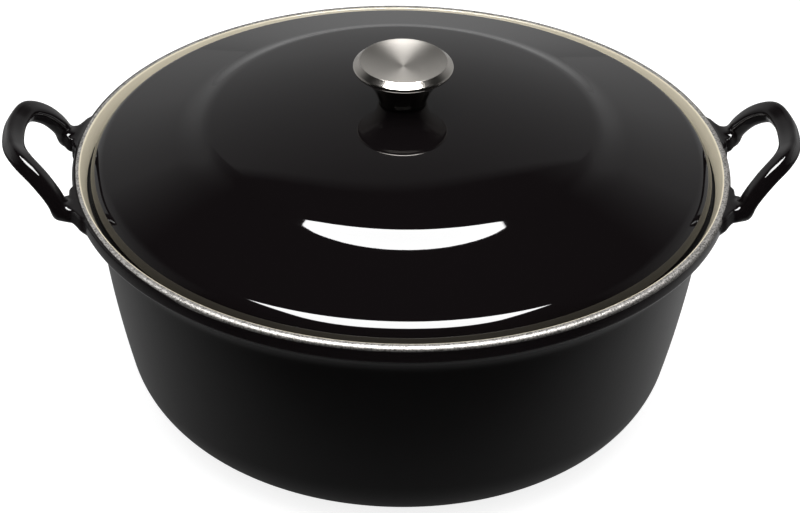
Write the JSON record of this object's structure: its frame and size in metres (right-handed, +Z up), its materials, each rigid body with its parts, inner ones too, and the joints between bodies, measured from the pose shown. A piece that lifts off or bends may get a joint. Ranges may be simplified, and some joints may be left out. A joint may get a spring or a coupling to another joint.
{
  "type": "casserole pot",
  "caption": "Round black enamelled cast-iron casserole with loop handles, a stepped drop-in lid on an inner ledge and a flared steel knob; holds food for slow cooking.",
  "frame": {"origin": "centre of the flat base, on the surface the pot stands on", "axes": "+Z is up along the pot's axis, the two handles lie along +X and -X, and -Y is the side towards the camera"},
  "size_m": [0.3874, 0.3206, 0.1869],
  "materials": {
    "black_enamel_iron": "cast iron under vitreous enamel: glossy black outside and on the lid, cream inside, bare grey grain on the rim",
    "stainless_steel": "turned stainless steel, round-brushed top, polished bevel and stem",
    "plated_steel": "zinc-plated steel fasteners under the lid"
  },
  "bodies": {
    "pot": {"pot_body": "black_enamel_iron"},
    "lid": {"lid": "black_enamel_iron", "knob": "stainless_steel", "knob_screw": "plated_steel", "lock_washer": "plated_steel"}
  },
  "joints": [
    {"name": "lid_lift", "type": "slide", "parent": "pot", "child": "lid", "axis": [0, 0, 1], "range_m": [0, 0.15]}
  ]
}
